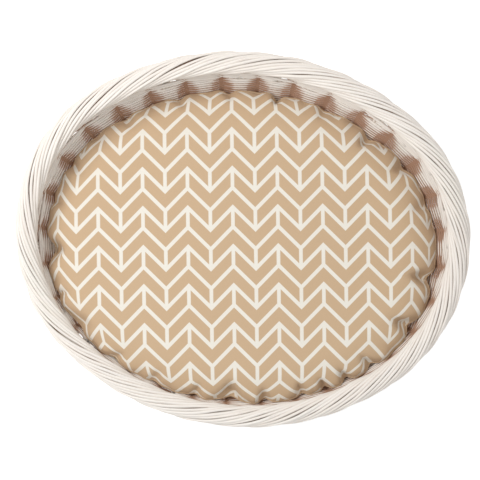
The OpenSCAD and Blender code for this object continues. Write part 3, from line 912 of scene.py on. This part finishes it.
def puff(piece, loose):
    """Lets the loose part of a closed cover swell and wrinkle under pressure, as filling makes it."""
    rest = np.zeros(len(piece.data.vertices) * 3)
    piece.data.vertices.foreach_get("co", rest)
    rest = rest.reshape(-1, 3)
    group = piece.vertex_groups.new(name="held")
    held = np.round(1 - loose, 2)
    for level in np.unique(held):
        group.add(np.nonzero(held == level)[0].tolist(), float(level), "REPLACE")
    cloth = piece.modifiers.new("puff", "CLOTH")
    for key, value in PUFF_SETTINGS.items():
        setattr(cloth.settings, key, value)
    cloth.settings.vertex_group_mass = "held"
    cloth.settings.effector_weights.gravity = 0
    cloth.collision_settings.use_collision = False
    cloth.point_cache.frame_start, cloth.point_cache.frame_end = 1, PUFF_FRAMES
    scene = bpy.context.scene
    for frame_number in range(1, PUFF_FRAMES + 1):
        scene.frame_set(frame_number)
    shaped = piece.evaluated_get(bpy.context.evaluated_depsgraph_get())
    now = np.zeros(len(rest) * 3)
    shaped.data.vertices.foreach_get("co", now)
    move = now.reshape(-1, 3) - rest
    size = np.linalg.norm(move, axis=1, keepdims=True)
    move *= np.minimum(1, PUFF_MOST / np.maximum(size, 1e-9))
    piece.modifiers.remove(cloth)
    piece.vertex_groups.remove(group)
    scene.frame_set(1)
    return rest + move


PRINT_PERIOD = 0.0609  # from peak to peak
PRINT_DROP = 0.02645  # from one zigzag line to the next
PRINT_TURN = math.radians(0.75)  # the print lies a little turned on the cushion
PRINT_PHASE = (-0.0112, 0.0015)
LINE_HALF = 0.0036
BAR_HALF = 0.0025
PRINT_EDGE = 0.0004  # half the width over which the ink fades
WHOLE_REPEATS = 40  # keeps the print's coordinates above zero
TAN_LIGHT = (0.625, 0.455, 0.292)
TAN_DARK = (0.540, 0.380, 0.238)
CREAM_DARK = (0.73, 0.68, 0.59)
CREAM_LIGHT = (0.89, 0.86, 0.785)


def printed_cloth(name):
    """Tan cotton with a cream zigzag print: lines A and B in turn, joined by upright bars that
    stand at the peaks below an A line and at the troughs below a B line."""
    m = Nodes(name)
    flat = m.attribute("flat", "Vector")
    turned = m.new("ShaderNodeVectorRotate", rotation_type="Z_AXIS")
    m.link(flat, turned.inputs["Vector"])
    turned.inputs["Angle"].default_value = -ROLL - PRINT_TURN
    split = m.new("ShaderNodeSeparateXYZ")
    m.link(turned.outputs[0], split.inputs[0])
    u = m.math("ADD", split.outputs[0], WHOLE_REPEATS * PRINT_PERIOD - PRINT_PHASE[0])
    v = m.math("ADD", split.outputs[1], WHOLE_REPEATS * PRINT_DROP - PRINT_PHASE[1])
    across = m.math("PINGPONG", u, PRINT_PERIOD / 2)
    height = m.math("ADD", v, across)
    line = m.math("PINGPONG", height, PRINT_DROP / 2)
    zigzag = m.ramp(line, LINE_HALF - PRINT_EDGE, LINE_HALF + PRINT_EDGE, 1, 0)
    cycle = m.math("FLOORED_MODULO", height, 2 * PRINT_DROP)
    below_a = m.math("GREATER_THAN", cycle, PRINT_DROP)
    at_trough = m.math("SUBTRACT", PRINT_PERIOD / 2, across)
    bar_at = m.math("ADD", m.math("MULTIPLY", across, below_a),
                    m.math("MULTIPLY", at_trough, m.math("SUBTRACT", 1, below_a)))
    bar = m.ramp(bar_at, BAR_HALF - PRINT_EDGE, BAR_HALF + PRINT_EDGE, 1, 0)
    printed = m.math("MAXIMUM", zigzag, bar)
    warp = m.noise(m.vector("MULTIPLY", flat, (260, 2600, 1)), 1.0, 2, 0.5)
    weft = m.noise(m.vector("MULTIPLY", flat, (2600, 260, 1)), 1.0, 2, 0.5)
    threads = m.math("MULTIPLY", m.math("ADD", warp, weft), 0.5)
    mottle = m.noise(flat, 18, 3, 0.5)
    tan = m.mix(threads, TAN_DARK, TAN_LIGHT)
    tan = m.mix(m.math("MULTIPLY", mottle, 0.25), tan, TAN_DARK)
    m.colour(m.mix(printed, tan, m.mix(threads, CREAM_DARK, CREAM_LIGHT)))
    m.set(Roughness=0.88, Specular_IOR_Level=0.2, Sheen_Weight=0.12, Sheen_Roughness=0.5)
    m.bump(m.math("ADD", threads, m.math("MULTIPLY", printed, 0.15)), 0.0004, 0.45)
    return m.material


def seam_cloth(name):
    m = Nodes(name)
    rod = m.attribute("rod", "Vector")
    twist = m.noise(m.vector("MULTIPLY", rod, (700, 2, 2)), 1.0, 3, 0.6)
    m.colour(m.mix(twist, TAN_DARK, TAN_LIGHT))
    m.set(Roughness=0.9, Specular_IOR_Level=0.2)
    m.bump(twist, 0.0004, 0.6)
    return m.material


def cushion_piece():
    """The cushion. Returns its seam's line, and the direction out of the wall along it."""
    points, faces, flat, loose, out_dir = cushion_grid()
    mesh = bpy.data.meshes.new("cushion")
    mesh.from_pydata(points.tolist(), [], faces)
    layer = mesh.attributes.new("flat", "FLOAT_VECTOR", "POINT")
    layer.data.foreach_set("vector", flat.astype(np.float32).ravel())
    mesh.shade_smooth()
    mesh.materials.append(printed_cloth("printed_cloth"))
    piece = bpy.data.objects.new("cushion", mesh)
    bpy.context.collection.objects.link(piece)
    shaped = puff(piece, loose)
    mesh.vertices.foreach_set("co", shaped.ravel())
    mesh.update()
    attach(piece, "cushion")
    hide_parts("cushion_filling", "cushion_top_panel", "cushion_bottom_panel")
    seam_line = np.array([mesh.vertices[k % SECTORS].co for k in range(SECTORS + 1)])
    return seam_line, np.vstack([out_dir, out_dir[:1]])


SEAM_R = 0.0013


def seam_piece(line, out_dir):
    """The folded edge where the two panels are sewn together, a little crumpled."""
    rods = Rods(8)
    s = np.linspace(0, 1, len(line))
    crumple = 0.0004 * np.sin(2 * np.pi * s * 61) + 0.0003 * np.sin(2 * np.pi * s * 143)
    path = line + np.stack([np.zeros_like(s), np.zeros_like(s), crumple], -1)
    rods.add(path, SEAM_R, out_dir, 0.0, 1.0)
    piece = rods.piece("cushion_seam", seam_cloth("seam_cloth"))
    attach(piece, "cushion")


seam_piece(*cushion_piece())


# ---------------------------------------------------------------- zip

METAL_DARK, METAL_LIGHT = (0.42, 0.40, 0.37), (0.72, 0.70, 0.66)
TAPE_DARK, TAPE_LIGHT = (0.50, 0.36, 0.24), (0.66, 0.50, 0.36)


def metal(name):
    m = Nodes(name)
    place = m.new("ShaderNodeTexCoord").outputs["Object"]
    fine = m.noise(place, 1500, 3, 0.6)
    m.colour(m.mix(fine, METAL_DARK, METAL_LIGHT))
    m.feed(m.shader, "Roughness", m.ramp(fine, 0.2, 0.8, 0.25, 0.5))
    m.set(Metallic=1.0)
    m.bump(fine, 0.0001, 0.4)
    return m.material


def tape(name):
    m = Nodes(name)
    place = m.new("ShaderNodeTexCoord").outputs["Object"]
    ribs = m.new("ShaderNodeTexWave", wave_type="BANDS", bands_direction="X")
    m.link(place, ribs.inputs["Vector"])
    ribs.inputs["Scale"].default_value = 300
    ribs.inputs["Distortion"].default_value = 1.5
    m.colour(m.mix(ribs.outputs["Fac"], TAPE_DARK, TAPE_LIGHT))
    m.set(Roughness=0.8)
    m.bump(ribs.outputs["Fac"], 0.0003, 0.5)
    return m.material


zip_metal = metal("zip_metal")
zip_cloth = tape("zip_tape")
for node_name, zip_material in (("zip_tape_front", zip_cloth), ("zip_tape_back", zip_cloth),
                                ("zip_slider", zip_metal), ("zip_pull", zip_metal)):
    repaint(node_name, zip_material)


TEETH_HALF = 0.146  # half the length of the rows
TOOTH_PITCH = 0.0026
TOOTH_REACH = (0.00055, 0.00265)  # from the zip's middle
TOOTH_Z = (0.02285, 0.02495)
# A tooth's sections from its tip to its root: reach, half width, and share of its whole height
TOOTH_SECTIONS = ((TOOTH_REACH[0], 0.00045, 0.7), (TOOTH_REACH[0] + 0.0005, 0.0008, 0.95),
                  (TOOTH_REACH[1], 0.00065, 1.0))
OCTAGON = ((-1, -0.6), (-0.6, -1), (0.6, -1), (1, -0.6), (1, 0.6), (0.6, 1), (-0.6, 1), (-1, 0.6))


def teeth_piece():
    """Two rows of moulded teeth, narrower at the tip, that pass each other at the middle."""
    points, faces = [], []
    z_mid, z_half = sum(TOOTH_Z) / 2, (TOOTH_Z[1] - TOOTH_Z[0]) / 2
    for k in range(int(2 * TEETH_HALF / TOOTH_PITCH)):
        side = 1 if k % 2 else -1
        x = -TEETH_HALF + k * TOOTH_PITCH
        start = len(points)
        for reach, wide, high in TOOTH_SECTIONS:
            points += [(x + dx * wide, PLAN_Y + side * reach, z_mid + dz * z_half * high)
                       for dx, dz in OCTAGON]
        ring = list(range(8))[::side]
        for level in range(2):
            for n in range(8):
                i, j = start + level * 8 + ring[n], start + level * 8 + ring[(n + 1) % 8]
                faces.append((i, i + 8, j + 8, j))
        faces.append([start + v for v in ring])
        faces.append([start + 16 + v for v in reversed(ring)])
    mesh = bpy.data.meshes.new("zip_teeth")
    mesh.from_pydata(points, [], faces)
    mesh.materials.append(zip_metal)
    piece = bpy.data.objects.new("zip_teeth", mesh)
    bpy.context.collection.objects.link(piece)
    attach(piece, "cushion")


teeth_piece()


# ---------------------------------------------------------------- room

FLOOR_HALF = 6
FLOOR_GLOW = 0.5
WORLD_LIGHT, WORLD_SEEN = 0.55, 1.0  # the world's strength as a light, and as the camera sees it
AIM = Vector((0, 0, 0.1))
# Lights: name, place, size and power
LIGHTS = (
    ("key", (-0.80, 0.18, 1.45), 0.9, 14.5),
    ("fill", (1.1, 0.2, 2.0), 1.8, 5),
)


def floor_material():
    m = Nodes("floor")
    place = m.new("ShaderNodeTexCoord").outputs["Object"]
    m.colour(m.mix(m.noise(place, 3, 2, 0.5), (0.94, 0.94, 0.94), (0.97, 0.97, 0.97)))
    m.set(Roughness=0.9, Specular_IOR_Level=0.1)
    m.set(Emission_Color=(1, 1, 1, 1), Emission_Strength=FLOOR_GLOW)
    return m.material


def make_room():
    mesh = bpy.data.meshes.new("floor")
    corners = [(x * FLOOR_HALF, y * FLOOR_HALF, 0) for x, y in ((-1, -1), (1, -1), (1, 1), (-1, 1))]
    mesh.from_pydata(corners, [], [(0, 1, 2, 3)])
    mesh.materials.append(floor_material())
    floor = bpy.data.objects.new("floor", mesh)
    bpy.context.collection.objects.link(floor)
    world = bpy.data.worlds.new("room")
    world.use_nodes = True
    world.node_tree.nodes["Background"].inputs["Color"].default_value = (1, 1, 1, 1)
    tree = world.node_tree
    seen = tree.nodes.new("ShaderNodeLightPath").outputs["Is Camera Ray"]
    strength = tree.nodes.new("ShaderNodeMapRange")
    strength.inputs["To Min"].default_value = WORLD_LIGHT
    strength.inputs["To Max"].default_value = WORLD_SEEN
    tree.links.new(seen, strength.inputs["Value"])
    tree.links.new(strength.outputs[0], tree.nodes["Background"].inputs["Strength"])
    bpy.context.scene.world = world
    for name, place, size, power in LIGHTS:
        data = bpy.data.lights.new(name, "AREA")
        data.shape, data.size, data.energy = "DISK", size, power
        light = bpy.data.objects.new(name, data)
        light.location = place
        light.rotation_euler = (AIM - Vector(place)).to_track_quat("-Z", "Y").to_euler()
        bpy.context.collection.objects.link(light)


make_room()
bpy.context.scene.view_settings.view_transform = "Standard"
